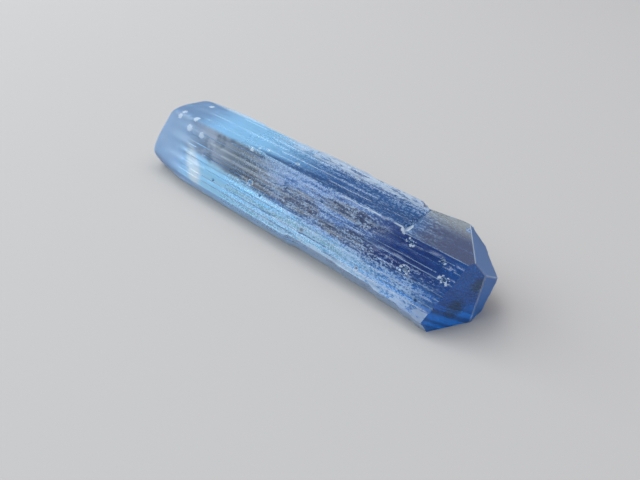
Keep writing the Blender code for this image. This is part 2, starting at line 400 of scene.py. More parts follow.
@dataclass
class Lumps:
    """Low lumps on the rounded end, with the skin sunk a little between them."""

    reach: float = 5.6 * MM
    sink: float = 0.09 * MM
    placed: tuple[Quad, ...] = (
        mm(23.85, -1.20, 4.20, 0.36),
        mm(23.80, -0.75, 4.42, 0.34),
        mm(22.25, -0.95, 4.45, 0.42),
        mm(22.50, -1.43, 3.81, 0.44),
        mm(21.20, -1.48, 3.74, 0.40),
        mm(23.20, 1.20, 4.45, 0.34),
    )
    count: int = 20
    radii: Pair = mm(0.25, 0.55)
    drawn_in: float = 0.75
    free_height: float = 0.35 * MM
    lean: float = 0.85 * MM
    lean_from: float = 1.9 * MM
    lean_in_middle: float = 0.4
    lean_skew: float = 0.2
    lean_half_width: float = 1.3 * MM
    softening: int = 30
    softness: float = 0.5

    def all(self, prism: Prism, rng: random.Random) -> tuple[np.ndarray, np.ndarray]:
        """List the lumps: the placed ones, then others around the skin.

        Args:
            prism: The prism that it is measured on.
            rng: Source of the random draws.

        Returns:
            Their centres and radii.
        """
        tip = -prism.length / 2
        centres = [tuple(prism.placed(lump[:3])) for lump in self.placed]
        radii = [lump[3] for lump in self.placed]
        for _ in range(self.count):
            turn = rng.uniform(0, 2 * math.pi)
            x = tip + self.reach * rng.random()
            out = prism.axis_z * (1.0 if x > tip + prism.dome_length / 2 else self.drawn_in)
            centres.append((x, prism.axis_y + out * math.cos(turn), prism.axis_z + out * math.sin(turn)))
            radii.append(rng.uniform(*self.radii))
        return np.array(centres), np.array(radii)

    def raise_on(self, points: np.ndarray, prism: Prism, rng: random.Random) -> np.ndarray:
        """Sink the skin of the rounded end between the lumps, and lean the end back.

        Args:
            points: The skin as rings x columns x 3.
            prism: The prism they belong to.
            rng: Source of the random draws.

        Returns:
            The moved points.
        """
        centres, radii = self.all(prism, rng)
        flat = points.reshape(-1, 3).copy()
        reach = 1 - (flat[:, 0] + prism.length / 2) / self.reach
        for i in np.flatnonzero((reach > 0) & (reach < 1) & (flat[:, 2] >= self.free_height)):
            place = flat[i]
            off = np.sqrt(((centres - place) ** 2).sum(axis=1)) / radii
            rise = max(0.0, float((1 - off ** 2).max()))
            out = Vector((-prism.axis_z / 4, place[1] - prism.axis_y, place[2] - prism.axis_z)).normalized()
            flat[i] += np.array(out) * self.sink * (rise - 1) * min(2 * reach[i], 1.0)
        for place in flat:
            place[0] += self.leaning(place, prism)
        return self.softened(flat.reshape(points.shape), prism)

    def softened(self, points: np.ndarray, prism: Prism) -> np.ndarray:
        """Round the edges of the worn end by evening out the skin around it.

        Args:
            points: The skin as rings x columns x 3.
            prism: The prism that it is measured on.

        Returns:
            The moved points.
        """
        wear = np.array([prism.wear(x) for x in points[:, :, 0].mean(axis=1)])
        share = np.sqrt(wear)[:, None, None] * self.softness
        for _ in range(self.softening):
            beside = (np.roll(points, 1, axis=1) + np.roll(points, -1, axis=1)) / 2
            points = points + (beside - points) * share
            ahead = (points[:-2] + points[2:]) / 2
            points[1:-1] += (ahead - points[1:-1]) * share[1:-1]
        return points

    def leaning(self, place: np.ndarray, prism: Prism) -> float:
        """Work out how far a point moves along +X as the end's upper half leans back.

        Args:
            place: A point of the skin.
            prism: The prism that it is measured on.

        Returns:
            How far it moves.
        """
        wear = prism.wear(place[0])
        height = (place[2] - self.lean_from) / (2 * prism.axis_z - self.lean_from)
        if wear == 0 or height <= 0:
            return 0.0
        aside = min(max((place[1] - prism.axis_y) / self.lean_half_width, -1.0), 1.0)
        share = self.lean_in_middle + (1 - self.lean_in_middle) * aside ** 2 - self.lean_skew * aside
        return self.lean * share * height ** 2 * wear


@dataclass(frozen=True)
class Relief:
    """One layer of fine marks: how deep, long and wide they are, and the number of its noise."""

    depth: float
    length: float
    width: float
    number: float

    def pattern(self, x: float, across: float, face: LongFace) -> float:
        """Noise at a place on a long face, from about -1 to 1."""
        return noise.noise(Vector((x / self.length, across / self.width, face.angle + self.number)))


@dataclass
class Striae:
    """Fine relief of the long faces: lengthwise striae, fading to the rounded end, and etch marks."""

    wide: Relief = Relief(*mm(0.014, 5.0, 0.30), 0)
    fine: Relief = Relief(*mm(0.006, 1.6, 0.13), 40)
    etch: Relief = Relief(*mm(0.014, 0.9, 0.16), 80)
    etch_bias: float = 0.3
    etch_contrast: float = 1.6
    fades_over: Pair = mm(-8.5, 1.0)
    etched_over: Pair = mm(-3.0, 4.0)

    @staticmethod
    def share(x: float, over: Pair) -> float:
        """Rise from 0 to 1 over a stretch along X."""
        return clamp((x - over[0]) / (over[1] - over[0]))

    def cut_into(self, points: np.ndarray, owners: np.ndarray, prism: Prism) -> np.ndarray:
        """Sink striae and etch marks into the skin, never raising it.

        Args:
            points: The skin as rings x columns x 3.
            owners: The long face of each column.
            prism: The prism that it is measured on.

        Returns:
            The moved points.
        """
        moved = points.copy()
        middle_ring = np.diff(points[len(points) // 2], axis=0)
        girth = np.concatenate(([0.0], np.cumsum(np.linalg.norm(middle_ring, axis=1))))
        for column, owner in enumerate(owners):
            face = prism.faces[owner]
            inward = -np.array((0.0, *face.normal))
            for ring in range(len(points)):
                x, _, z = points[ring, column]
                if z >= self.wide.depth:
                    sunk = self.sunk(x, girth[column], face)
                    moved[ring, column] += inward * sunk * self.share(x, self.fades_over)
        return moved

    def sunk(self, x: float, across: float, face: LongFace) -> float:
        """Work out the depth of the relief at a place on a long face.

        Args:
            x: Place along the crystal.
            across: Place around the crystal.
            face: The long face.

        Returns:
            The depth, which is never negative.
        """
        depth = sum(layer.depth * (0.5 + layer.pattern(x, across, face)) for layer in (self.wide, self.fine))
        share = self.share(x, self.etched_over) * face.etch
        if share > 0:
            mark = self.etch.pattern(x, across, face)
            depth += self.etch.depth * share * max(0.0, self.etch_bias + self.etch_contrast * mark)
        return max(0.0, depth)


@dataclass(frozen=True)
class EndFace:
    """A flat face that closes the crystal: a place on it, and its outward normal."""

    facet: Facet
    place: Triple
    normal: Triple

    def saw(self, bm: BMesh, prism: Prism) -> None:
        """Cut the crystal by the face's plane, drop what lies outside and close the cut.

        Args:
            bm: The crystal.
            prism: The prism that it is measured on.
        """
        everything = bm.verts[:] + bm.edges[:] + bm.faces[:]
        bmesh.ops.bisect_plane(bm, geom=everything, plane_co=prism.placed(self.place),
                               plane_no=self.normal, dist=1e-8, clear_outer=True)
        rim = [edge for edge in bm.edges if edge.is_boundary]
        closing = bmesh.ops.holes_fill(bm, edges=rim, sides=0)
        bmesh.ops.triangulate(bm, faces=closing["faces"])


@dataclass(frozen=True)
class Flake:
    """A thin flake lost towards the faceted end, given by the place of the foot of its wall."""

    foot: Triple
    roll: float
    rise: float
    box: Triple = mm(6.5, 7.0, 2.0)
    wall_lean: float = math.radians(45)

    def turn(self) -> Matrix:
        """Rotation from the flake's own frame, with its floor flat, to the crystal's."""
        return Matrix.Rotation(self.roll, 3, "X") @ Matrix.Rotation(-self.rise, 3, "Y")

    def block(self, prism: Prism) -> BMesh:
        """Make the shape of what is lost: a block from the leaning wall to past the faceted end.

        Args:
            prism: The prism that it is measured on.

        Returns:
            The block.
        """
        bm = bmesh.new()
        bmesh.ops.create_cube(bm, size=1.0)
        bmesh.ops.scale(bm, vec=self.box, verts=bm.verts)
        bmesh.ops.translate(bm, vec=(self.box[0] / 2, 0.0, self.box[2] / 2), verts=bm.verts)
        for vert in bm.verts:
            if vert.co.x < self.box[0] / 2:
                vert.co.x -= vert.co.z * math.tan(self.wall_lean)
        bmesh.ops.rotate(bm, cent=(0, 0, 0), matrix=self.turn(), verts=bm.verts)
        bmesh.ops.translate(bm, vec=prism.placed(self.foot), verts=bm.verts)
        return bm


@dataclass(frozen=True)
class Chip:
    """A bite out of an edge: a ball, given by the place of its centre and its radius."""

    centre: Triple
    radius: float

    def ball(self, prism: Prism, turn: float) -> BMesh:
        """Make the shape of what is lost.

        Args:
            prism: The prism that it is measured on.
            turn: Angle that keeps the shapes' corners apart.

        Returns:
            The ball.
        """
        bm = bmesh.new()
        place = Matrix.Translation(prism.placed(self.centre)) @ Matrix.Rotation(turn, 4, "Z")
        bmesh.ops.create_icosphere(bm, subdivisions=3, radius=self.radius, matrix=place)
        return bm


@dataclass(frozen=True)
class Pit:
    """A six-sided etch pit on a long face, given by its X, its place across the face and its radius."""

    face: int
    x: float
    across: float
    radius: float
    sides: int = 6
    depth_ratio: float = 0.55
    tip_radius: float = 0.02 * MM

    def middle(self, prism: Prism) -> Vector:
        """Find the pit's middle, at the level of its growth band.

        Args:
            prism: The prism that it is measured on.

        Returns:
            The point.
        """
        start, end = prism.face_ends(self.face, self.x)
        band = next(item for item in prism.bands[self.face] if item.end >= self.across)
        ny, nz = prism.faces[self.face].normal
        sunk = band.level(self.x)
        y = start[0] + (end[0] - start[0]) * self.across + ny * sunk
        z = start[1] + (end[1] - start[1]) * self.across + nz * sunk
        return Vector((self.x, prism.axis_y + y, prism.axis_z + z))

    def cone(self, prism: Prism, turn: float) -> BMesh:
        """Make the shape of what is lost: a cone, point down, on the band's own level.

        Args:
            prism: The prism that it is measured on.
            turn: Angle that keeps the shapes' corners apart.

        Returns:
            The cone.
        """
        turned = Vector((0, *prism.faces[self.face].normal)).to_track_quat("Z", "X").to_matrix().to_4x4()
        place = Matrix.Translation(self.middle(prism)) @ turned @ Matrix.Rotation(turn, 4, "Z")
        bm = bmesh.new()
        bmesh.ops.create_cone(bm, cap_ends=True, segments=self.sides, radius1=self.tip_radius,
                              radius2=2 * self.radius, depth=4 * self.radius * self.depth_ratio, matrix=place)
        return bm


@dataclass(frozen=True)
class Plane:
    """Plane of a flat facet: a point on it, and its outward unit normal."""

    facet: Facet
    point: Vector
    normal: Vector


@dataclass
class Losses:
    """Everything that the crystal has lost: flakes, chips and etch pits."""

    flakes: tuple[Flake, ...] = (
        Flake(mm(4.6, -1.21, 4.18), math.radians(5.2), 0.0),
        Flake(mm(5.1, 1.76, 4.22), math.radians(-30), math.radians(5.5)),
    )
    chips: tuple[Chip, ...] = (
        Chip(mm(16.5, -1.30, 4.65), 0.36 * MM),
        Chip(mm(15.6, -1.20, 4.68), 0.31 * MM),
        Chip(mm(4.5, -1.55, 4.45), 0.36 * MM),
        Chip(mm(10.0, 3.12, 3.15), 0.50 * MM),
        Chip(mm(19.5, 2.35, 4.75), 0.45 * MM),
    )
    placed_pits: tuple[tuple[int, float, float, float], ...] = (
        (3, 9.63 * MM, 0.32, 0.15 * MM),
        (3, 13.25 * MM, 0.78, 0.13 * MM),
        (4, 15.76 * MM, 0.53, 0.17 * MM),
        (4, 4.05 * MM, 0.17, 0.20 * MM),
        (4, 3.7 * MM, 0.55, 0.22 * MM),
        (4, 1.5 * MM, 0.42, 0.22 * MM),
        (4, 2.0 * MM, 0.2, 0.14 * MM),
        (4, 6.37 * MM, 0.88, 0.12 * MM),
    )
    scattered_pits: int = 12
    pits_along: Pair = (-0.36, 0.42)
    pits_across: Pair = (0.15, 0.85)
    pit_radius_mm: Pair = (0.09, 0.17)

    def large_pits(self, prism: Prism) -> list[Pit]:
        """The larger etch pits, each at its own place."""
        return [Pit(face, prism.along(back), across, radius)
                for face, back, across, radius in self.placed_pits]

    def pits(self, prism: Prism, rng: random.Random) -> list[Pit]:
        """List the larger pits, then scattered ones on the faces that don't touch the ground.

        Args:
            prism: The prism that it is measured on.
            rng: Source of the random draws.

        Returns:
            The pits.
        """
        found = self.large_pits(prism)
        for _ in range(self.scattered_pits):
            face = prism.faces.index(rng.choice(prism.faces[1:5]))
            x = rng.uniform(*self.pits_along) * prism.length
            found.append(Pit(face, x, rng.uniform(*self.pits_across), rng.uniform(*self.pit_radius_mm) * MM))
        return found

    def cutters(self, prism: Prism, rng: random.Random) -> list[BMesh]:
        """Make the shapes of all that is lost.

        Args:
            prism: The prism that it is measured on.
            rng: Source of the random draws.

        Returns:
            The shapes.
        """
        shapes = [flake.block(prism) for flake in self.flakes]
        shapes += [chip.ball(prism, float(number)) for number, chip in enumerate(self.chips)]
        shapes += [pit.cone(prism, float(number)) for number, pit in enumerate(self.pits(prism, rng))]
        return shapes


def object_from(name: str, bm: BMesh, collection: Collection) -> Object:
    """Turn a bmesh into an object.

    Args:
        name: Name of the object and its mesh.
        bm: The shape, which is freed.
        collection: Where the object goes.

    Returns:
        The object.
    """
    mesh = bpy.data.meshes.new(name)
    bm.to_mesh(mesh)
    bm.free()
    item = bpy.data.objects.new(name, mesh)
    collection.objects.link(item)
    return item


@dataclass
class Crystal:
    """The whole crystal: its prism, lumps, striae, end faces and losses."""

    name: str = "aquamarine"
    prism: Prism = field(default_factory=Prism)
    lumps: Lumps = field(default_factory=Lumps)
    striae: Striae = field(default_factory=Striae)
    losses: Losses = field(default_factory=Losses)
    end_faces: tuple[EndFace, ...] = (
        EndFace(Facet.SLANT, (-0.04 * MM, 0.0, 3.2 * MM), (1.0, -0.55, 0.03)),
        EndFace(Facet.BASAL, (0.0, 0.0, 0.0), (1.0, 0.0, 0.0)),
        EndFace(Facet.BEVEL, mm(0.525, -1.146, 4.48), (0.672, 0.405, 0.620)),
        EndFace(Facet.BEVEL, mm(0.10, 2.12, 1.90), (0.72, 0.53, 0.45)),
    )
    # Painted glints: places on the chips and along the ridge that are only coloured bright, with their radii.
    glint_spots: tuple[Quad, ...] = (
        mm(16.65, -1.08, 4.36, 0.20),
        mm(16.26, -0.74, 4.48, 0.14),
        mm(15.74, -0.45, 4.45, 0.14),
        mm(13.33, -0.40, 4.42, 0.10),
        mm(15.89, -2.13, 2.58, 0.14),
        mm(9.66, 1.09, 4.45, 0.14),
        mm(4.60, -1.15, 4.25, 0.26),
    )
    seed: int = 41
    sharp_angle: float = math.radians(24)
    flat_match: float = 0.9995
    plane_match: float = 0.004 * MM
    facing_match: float = 0.8
    facing: tuple[tuple[Facet, int], ...] = (
        (Facet.BACK_LOW, 1), (Facet.TOP, 3), (Facet.FRONT_HIGH, 4), (Facet.FRONT_LOW, 5))
    lump_glint: float = 0.75

    def build(self) -> Object:
        """Grow the crystal, close its end, take out what is lost and mark its facets.

        Returns:
            The crystal.
        """
        rng = random.Random(self.seed)
        self.prism.grow_bands(rng)
        points, owners = self.prism.skin()
        points = self.lumps.raise_on(points, self.prism, rng)
        points = self.striae.cut_into(points, owners, self.prism)
        bm = self.sheet(points)
        for face in self.end_faces:
            face.saw(bm, self.prism)
        crystal = object_from(self.name, bm, bpy.context.scene.collection)
        self.cut_losses(crystal, rng)
        self.mark_facets(crystal.data)
        crystal.data.shade_smooth()
        crystal.data.set_sharp_from_angle(angle=self.sharp_angle)
        return crystal

    @staticmethod
    def sheet(points: np.ndarray) -> BMesh:
        """Skin the rings of points and cap both ends.

        Args:
            points: The skin as rings x columns x 3.

        Returns:
            The closed skin.
        """
        rings, columns, _ = points.shape
        corner = np.arange(rings * columns).reshape(rings, columns)
        beside = np.roll(corner, -1, axis=1)
        quads = np.stack((corner[:-1], beside[:-1], beside[1:], corner[1:]), axis=-1).reshape(-1, 4)
        mesh = bpy.data.meshes.new("skin")
        mesh.from_pydata(points.reshape(-1, 3).tolist(), [],
                         quads.tolist() + [corner[0, ::-1].tolist(), corner[-1].tolist()])
        bm = bmesh.new()
        bm.from_mesh(mesh)
        bpy.data.meshes.remove(mesh)
        return bm

    def cut_losses(self, crystal: Object, rng: random.Random) -> None:
        """Take the flakes, chips and pits out of the crystal for good.

        Args:
            crystal: The crystal.
            rng: Source of the random draws.
        """
        lost = bpy.data.collections.new("lost")
        bpy.context.scene.collection.children.link(lost)
        for number, shape in enumerate(self.losses.cutters(self.prism, rng)):
            object_from(f"lost_{number}", shape, lost)
        cut = crystal.modifiers.new("losses", "BOOLEAN")
        cut.operation = "DIFFERENCE"
        cut.solver = "EXACT"
        cut.operand_type = "COLLECTION"
        cut.collection = lost
        bpy.context.view_layer.update()
        whole = crystal.data
        crystal.data = bpy.data.meshes.new_from_object(
            crystal.evaluated_get(bpy.context.evaluated_depsgraph_get()))
        crystal.data.name = self.name
        crystal.modifiers.clear()
        bpy.data.meshes.remove(whole)
        for item in list(lost.objects):
            bpy.data.meshes.remove(item.data)
        bpy.data.collections.remove(lost)

    def planes(self) -> list[Plane]:
        """List the planes of the flat facets.

        Returns:
            The planes.
        """
        up = Vector((0, 0, 1))
        found = [Plane(face.facet, self.prism.placed(face.place), Vector(face.normal).normalized())
                 for face in self.end_faces]
        return found + [Plane(Facet.FLAKE, self.prism.placed(flake.foot), flake.turn() @ up)
                        for flake in self.losses.flakes]

    def glinting_pits(self) -> list[tuple[Vector, float]]:
        """Middles and radii of the larger pits, which glint."""
        return [(pit.middle(self.prism) / MM, pit.radius / MM)
                for pit in self.losses.large_pits(self.prism)]

    def mark_facets(self, mesh: Mesh) -> None:
        """Store a face attribute for every kind of facet that the finish tells apart.

        Args:
            mesh: The crystal's mesh.
        """
        count = len(mesh.polygons)
        normals, centres = np.empty((count, 3)), np.empty((count, 3))
        mesh.polygons.foreach_get("normal", normals.ravel())
        mesh.polygons.foreach_get("center", centres.ravel())
        marks = {facet: np.zeros(count, dtype=bool) for facet in Facet}
        flat = np.zeros(count, dtype=bool)
        for plane in self.planes():
            normal = np.array(plane.normal)
            off = np.abs((centres - np.array(plane.point)) @ normal)
            on_plane = (normals @ normal > self.flat_match) & (off < self.plane_match)
            marks[plane.facet] |= on_plane
            flat |= on_plane
        marks[Facet.LONG] = ~flat
        for facet, number in self.facing:
            towards_it = normals[:, 1:] @ np.array(self.prism.faces[number].normal)
            marks[facet] = ~flat & (towards_it > self.facing_match)
        # The painted glints are stored as one more face attribute.
        marks[Facet.SPOT] = self.spots(centres)
        for facet, mark in marks.items():
            attribute = mesh.attributes.new(facet.value, "FLOAT", "FACE")
            attribute.data.foreach_set("value", mark.astype(np.float32))

    def spots(self, centres: np.ndarray) -> np.ndarray:
        """Work out how bright a painted glint each face centre lies in: on large lumps and at the glint
        spots.

        Args:
            centres: Middles of the faces.

        Returns:
            The brightness, from 0 to 1.
        """
        spots = [(self.prism.placed(lump[:3]), self.lump_glint * lump[3]) for lump in self.lumps.placed]
        spots += [(self.prism.placed(glint_spot[:3]), glint_spot[3]) for glint_spot in self.glint_spots]
        bright = np.zeros(len(centres))
        for point, radius in spots:
            off = np.linalg.norm(centres - np.array(point), axis=1) / radius
            bright = np.maximum(bright, np.clip(2 * (1 - off ** 2), 0.0, 1.0))
        return bright


@dataclass(frozen=True)
class Value:
    """The output of a shader node, which can be reckoned with like a number."""

    graph: Graph
    socket: NodeSocket

    def __add__(self, other: Input) -> Value:
        """Add a number."""
        return self.graph.maths("ADD", self, other)

    def __sub__(self, other: Input) -> Value:
        """Take a number away."""
        return self.graph.maths("SUBTRACT", self, other)

    def __rsub__(self, other: float) -> Value:
        """Take it away from a number."""
        return self.graph.maths("SUBTRACT", other, self)

    def __mul__(self, other: Input) -> Value:
        """Multiply it by a number."""
        return self.graph.maths("MULTIPLY", self, other)

    def __abs__(self) -> Value:
        """Drop its sign."""
        return self.graph.maths("ABSOLUTE", self)

    def larger(self, other: Value) -> Value:
        """Take the larger of it and another."""
        return self.graph.maths("MAXIMUM", self, other)

    def ramp(self, low: float, high: float) -> Value:
        """Rise smoothly from 0 at low to 1 at high, or fall if low is the larger."""
        inputs = {"Value": self, "From Min": low, "From Max": high}
        return self.graph.value("ShaderNodeMapRange", inputs, interpolation_type="SMOOTHSTEP")


class Graph:
    """Lays out shader nodes in a node tree."""

    def __init__(self, tree: NodeTree) -> None:
        """Work on one node tree."""
        self.tree = tree

    def node(self, kind: str, inputs: dict[str | int, Input], **settings: object) -> Node:
        """Add a node.

        Args:
            kind: Blender's name of the node type.
            inputs: What goes into each input that isn't left as it is.
            settings: The node's own settings.

        Returns:
            The node.
        """
        made = self.tree.nodes.new(kind)
        for name, value in settings.items():
            setattr(made, name, value)
        for key, value in inputs.items():
            if isinstance(value, Value):
                self.tree.links.new(value.socket, made.inputs[key])
            else:
                made.inputs[key].default_value = value
        return made

    def value(self, kind: str, inputs: dict[str | int, Input], output: str | int = 0,
              **settings: object) -> Value:
        """Add a node and take one of its outputs."""
        return Value(self, self.node(kind, inputs, **settings).outputs[output])

    def maths(self, operation: str, first: Input, second: Input = 0.0) -> Value:
        """Combine two numbers."""
        return self.value("ShaderNodeMath", {0: first, 1: second}, operation=operation)

    def vector(self, x: Input, y: Input, z: Input = 0.0) -> Value:
        """Make a vector of three numbers."""
        return self.value("ShaderNodeCombineXYZ", {"X": x, "Y": y, "Z": z})

    def vectors(self, operation: str, first: Input, second: Input, output: str = "Vector") -> Value:
        """Combine two vectors."""
        return self.value("ShaderNodeVectorMath", {0: first, 1: second}, output, operation=operation)

    def blend(self, share: Input, under: Input, over: Input) -> Value:
        """Lay one colour over another."""
        inputs = dict(zip(MIX_INPUTS, (share, under, over)))
        return self.value("ShaderNodeMix", inputs, MIX_RESULT, data_type="RGBA")


def new_group(name: str, vectors: tuple[str, ...], numbers: tuple[str, ...],
              output: str) -> tuple[Graph, dict[str, Value]]:
    """Start a shader node group.

    Args:
        name: Name of the group.
        vectors: Names of the inputs that are vectors.
        numbers: Names of the inputs that are numbers.
        output: Name of its one output, a number.

    Returns:
        A helper to lay out its nodes, and the group's inputs by their names.
    """
    tree = bpy.data.node_groups.new(name, "ShaderNodeTree")
    for kind, labels in (("NodeSocketVector", vectors), ("NodeSocketFloat", numbers)):
        for label in labels:
            tree.interface.new_socket(name=label, in_out="INPUT", socket_type=kind)
    tree.interface.new_socket(name=output, in_out="OUTPUT", socket_type="NodeSocketFloat")
    graph = Graph(tree)
    given = graph.node("NodeGroupInput", {}).outputs
    return graph, {label: Value(graph, given[label]) for label in vectors + numbers}


def streaks_group() -> NodeTree:
    """Make the group of noise drawn out along the crystal, from 0 to 1.

    Returns:
        The group.
    """
    graph, given = new_group("lengthwise_streaks", ("Position",), ("Length", "Width", "Seed", "Detail"),
                             "Streak")
    size = graph.vector(given["Length"], given["Width"], given["Width"])
    pattern = graph.value("ShaderNodeTexNoise", {
        "Vector": graph.vectors("DIVIDE", given["Position"], size), "W": given["Seed"], "Scale": 1.0,
        "Detail": given["Detail"], "Roughness": 0.6}, "Fac", noise_dimensions="4D")
    graph.node("NodeGroupOutput", {"Streak": pattern})
    return graph.tree


def patch_group() -> NodeTree:
    """Make the group of a soft oval patch around a place: 1 in its middle, 0 past its edge.

    Returns:
        The group.
    """
    graph, given = new_group("soft_patch", ("Position", "Centre", "Reach"), (), "Patch")
    off = graph.vectors("SUBTRACT", given["Position"], given["Centre"])
    scaled = graph.vectors("DIVIDE", off, given["Reach"])
    length = graph.vectors("LENGTH", scaled, (0.0, 0.0, 0.0), "Value")
    graph.node("NodeGroupOutput", {"Patch": length.ramp(1.0, 0.35)})
    return graph.tree


class Surface(Graph):
    """The crystal's surface, and where on it a point lies, in millimetres.

    Attributes:
        position: The point as a vector.
        x: Along the crystal.
        y: Across it.
        z: Above the ground.
        down: Down the broad front face from its upper ridge.
        plan: X and down as a vector.
    """

    down_front: Triple = (0.0, -0.5, -0.866)
    ridge_offset: float = 3.375

    def __init__(self, tree: NodeTree) -> None:
        """Lay out the nodes that tell the place.

        Args:
            tree: The node tree of the material.
        """
        super().__init__(tree)
        self.streaks, self.patches = streaks_group(), patch_group()
        metres = self.value("ShaderNodeTexCoord", {}, "Object")
        self.position = self.value("ShaderNodeVectorMath", {0: metres, "Scale": 1 / MM}, operation="SCALE")
        axes = self.node("ShaderNodeSeparateXYZ", {0: self.position})
        self.x, self.y, self.z = (Value(self, socket) for socket in axes.outputs)
        self.down = self.along(self.down_front) + self.ridge_offset
        self.plan = self.vector(self.x, self.down)

    def along(self, way: Triple) -> Value:
        """How far the point lies along a direction."""
        return self.vectors("DOT_PRODUCT", self.position, way, "Value")

    def outside(self, plane: Plane) -> Value:
        """How far the point lies outside a plane."""
        return self.along(tuple(plane.normal)) - plane.point.dot(plane.normal) / MM

    def mark(self, facet: Facet) -> Value:
        """Read a face attribute, which is 1 on its facet."""
        return self.value("ShaderNodeAttribute", {}, "Fac", attribute_name=facet.value)

    def streak(self, length: float, width: float, seed: float, detail: float) -> Value:
        """Noise drawn out along the crystal, from 0 to 1."""
        return self.value("ShaderNodeGroup", {"Position": self.position, "Length": length, "Width": width,
                                              "Seed": seed, "Detail": detail}, node_tree=self.streaks)

    def patch(self, position: Value, centre: Triple, reach: Triple) -> Value:
        """A soft oval patch: 1 in its middle, 0 past its edge."""
        return self.value("ShaderNodeGroup", {"Position": position, "Centre": centre, "Reach": reach},
                          node_tree=self.patches)


@dataclass(frozen=True)
class AquamarineFinish:
    """Clear blue crystal, pale and milky at the rounded end and deep blue at the faceted one. Its colour also
    holds painted shade on the front face's middle band, along the ridge and on the lower back face, painted
    light on the lower bands, painted reflections on the flake and the slanting end face, and painted
    highlights and glints.

    Places are in millimetres. A field that ends in _at holds where a look begins and where it
    is full: along X, along Y for _side_at, up Z for _height_at, down the broad front face for
    _down_at, away from a plane or line for _off_at, and in a noise for _level_at. One that
    ends in _cover tells how far a look covers what lies under it, and one that ends in
    _streaks holds the length, width, seed and detail of a noise.
    """

    name: str = "aquamarine"
    refraction: float = 1.577
    clearness: float = 0.62
    depth_colour: Colour = (0.10, 0.68, 0.98, 1.0)
    density: float = 100.0
    body: Colour = (0.36, 0.70, 0.96, 1.0)
    milk: Colour = (0.37, 0.53, 0.74, 1.0)
    # Painted shade: greys of the broad front face's middle band, where dark ground would show through the
    # crystal.
    band_shade: Colour = (0.42, 0.42, 0.46, 1.0)
    deep_band_shade: Colour = (0.09, 0.11, 0.14, 1.0)
    lilac: Colour = (0.17, 0.31, 0.66, 1.0)
    # Painted shade: dark smoky windows on the front face, and a tint on the lower back face, in place of dark
    # ground seen through the crystal.
    painted_shade: Colour = (0.085, 0.060, 0.055, 1.0)
    # Painted light: pale sky blue of the front face's lower band, lit as by light reflected inside the
    # crystal; tip_low is the same near the faceted end.
    low: Colour = (0.44, 0.80, 1.0, 1.0)
    tip: Colour = (0.0, 0.026, 0.19, 1.0)
    tip_haze: Colour = (0.07, 0.21, 0.55, 1.0)
    tip_low: Colour = (0.14, 0.43, 1.0, 1.0)
    top: Colour = (0.018, 0.11, 0.33, 1.0)
    dome: Colour = (0.20, 0.32, 0.50, 1.0)
    # Painted shade: navy strip on the top face along the ridge.
    ridge_shade: Colour = (0.01, 0.07, 0.22, 1.0)
    bloom: Colour = (0.62, 0.79, 1.0, 1.0)
    dark: Colour = (0.01, 0.03, 0.09, 1.0)
    cream: Colour = (0.95, 0.97, 0.92, 1.0)
    # Painted light on the narrow lower front face, which faces down into shade.
    strip: Colour = (0.56, 0.76, 1.0, 1.0)
    # Painted reflection: greys of the flake's smooth face, in place of the sky it mirrors.
    flake: Colour = (0.12, 0.13, 0.22, 1.0)
    flake_back: Colour = (0.46, 0.45, 0.42, 1.0)
    flake_foot: Colour = (0.10, 0.20, 0.42, 1.0)
    slant: Colour = (0.0, 0.14, 0.58, 1.0)
    # Painted reflection: greenish patches on the slanting end face.
    green_reflection: Colour = (0.004, 0.055, 0.085, 1.0)
    slant_low: Colour = (0.0, 0.27, 1.0, 1.0)
    slant_side: Colour = (0.004, 0.09, 0.36, 1.0)
    basal: Colour = (0.005, 0.26, 0.85, 1.0)
    bevel: Colour = (0.09, 0.26, 0.62, 1.0)
    # Painted highlight: colour of the bright lines along edges, the bright spots and the glints.
    edge: Colour = (0.88, 0.94, 1.0, 1.0)

    polish: float = 0.07
    etched_rough: float = 0.3
    long_rough: float = 0.12
    end_rough: float = 0.42
    worn_rough: float = 0.25
    bright_rough: float = 0.25
    worn_at: Pair = (-2.0, -9.0)

    cloud_streaks: Quad = (1.3, 0.9, 3.0, 4.0)
    front_at: Pair = (-11.5, -9.0)
    front_down_at: Pair = (-0.05, 0.25)
    # Where the painted shade of the middle band deepens.
    band_shade_at: Pair = (-7.2, -4.2)
    band_shade_level_at: Pair = (0.42, 0.62)
    lilac_at: Pair = (-3.5, 0.5)
    top_at: Pair = (-4.5, 2.8)
    tip_at: Pair = (4.5, 8.5)
    tip_low_at: Pair = (4.0, 10.0)
    low_edge: Triple = (0.05, 2.2, 0.5)
    low_edge_tip_at: Pair = (6.5, 9.0)
    low_edge_crisp_off_at: Pair = (-0.2, 0.3)
    low_edge_soft_off_at: Pair = (-0.9, 0.8)
    # Where the painted shade's smoky windows fall on the front face, and how strongly.
    shade_level_at: Pair = (0.68, 0.92)
    shade_streaks: Quad = (4.0, 0.42, 1.0, 4.0)
    shade_streak_share: float = 0.6
    shade_cloud_share: float = 0.4
    shade_patch_share: float = 0.4
    shade_cover: float = 0.78
    shade_patches: tuple[Quad, ...] = (
        (-1.9, 1.75, 2.6, 1.3),
        (1.1, 1.75, 3.0, 1.2),
        (5.8, 2.15, 4.6, 0.85),
        (5.2, 0.80, 4.8, 0.70),
    )
    slant_side_off_at: Pair = (-1.9, -0.1)
    slant_side_cover: float = 0.75
    tip_haze_patch: tuple[Triple, Triple] = ((10.0, 2.75, 0.0), (1.7, 0.9, 1.0))
    tip_haze_cover: float = 0.6
    # Where the painted shade along the ridge lies.
    ridge_shade_at: Pair = (-8.5, -6.5)
    ridge_shade_side_at: Pair = (-0.30, -0.75)
    ridge_shade_turn: float = 0.1
    ridge_shade_cover: float = 0.85
